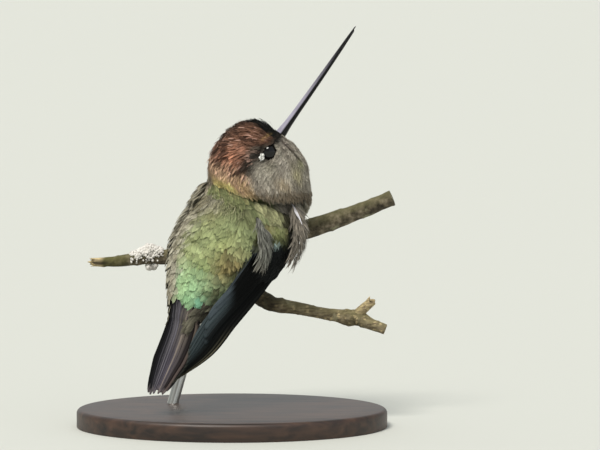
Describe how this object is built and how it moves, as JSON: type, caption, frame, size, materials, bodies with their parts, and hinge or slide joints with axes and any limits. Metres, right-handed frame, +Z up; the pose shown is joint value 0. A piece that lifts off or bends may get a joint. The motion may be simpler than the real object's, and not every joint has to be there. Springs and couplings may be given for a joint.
{
  "type": "green-fronted lancebill, a hummingbird, on a display stand",
  "caption": "Life-size museum model of a long-billed hummingbird, perched hunched on a forked twig, seen from behind with its head turned, on a flat oval stand.",
  "frame": {"origin": "middle of the underside of the stand's oval base", "axes": "+Z up, +X to the side that the bill points to, -Y the side that the bird's back faces"},
  "size_m": [0.0863, 0.062, 0.1081],
  "materials": {
    "crown_feathers": "soft coppery plumage",
    "throat_feathers": "soft grey plumage",
    "back_feathers": "soft green plumage, turquoise at the rump",
    "covert_feathers": "soft green and brown plumage",
    "flight_feathers": "smooth dark vanes with pale shafts",
    "tail_feathers": "smooth grey vanes with pale tips",
    "down_feathers": "loose pale grey plumage",
    "bill_horn": "satin dark horn",
    "eye_gloss": "wet gloss",
    "foot_skin": "fine dark scales",
    "bark": "rough bark",
    "lichen": "dry crust",
    "base_wood": "stained and waxed",
    "rod_steel": "brushed"
  },
  "bodies": {
    "root": {"head": "crown_feathers", "neck": "throat_feathers", "trunk": "back_feathers", "bill_upper": "bill_horn", "bill_lower": "bill_horn", "eye_right": "eye_gloss", "eye_left": "eye_gloss", "wing_right_coverts": "covert_feathers", "wing_right_primaries": "flight_feathers", "wing_right_secondaries": "flight_feathers", "wing_left_coverts": "covert_feathers", "wing_left_primaries": "flight_feathers", "wing_left_secondaries": "flight_feathers", "tail": "tail_feathers", "flank_tuft_right": "down_feathers", "leg_right": "down_feathers", "leg_left": "down_feathers", "foot_right": "foot_skin", "foot_left": "foot_skin", "perch_branch": "bark", "perch_twig": "bark", "perch_lichen": "lichen", "stand_base": "base_wood", "stand_rod": "rod_steel"}
  },
  "joints": []
}
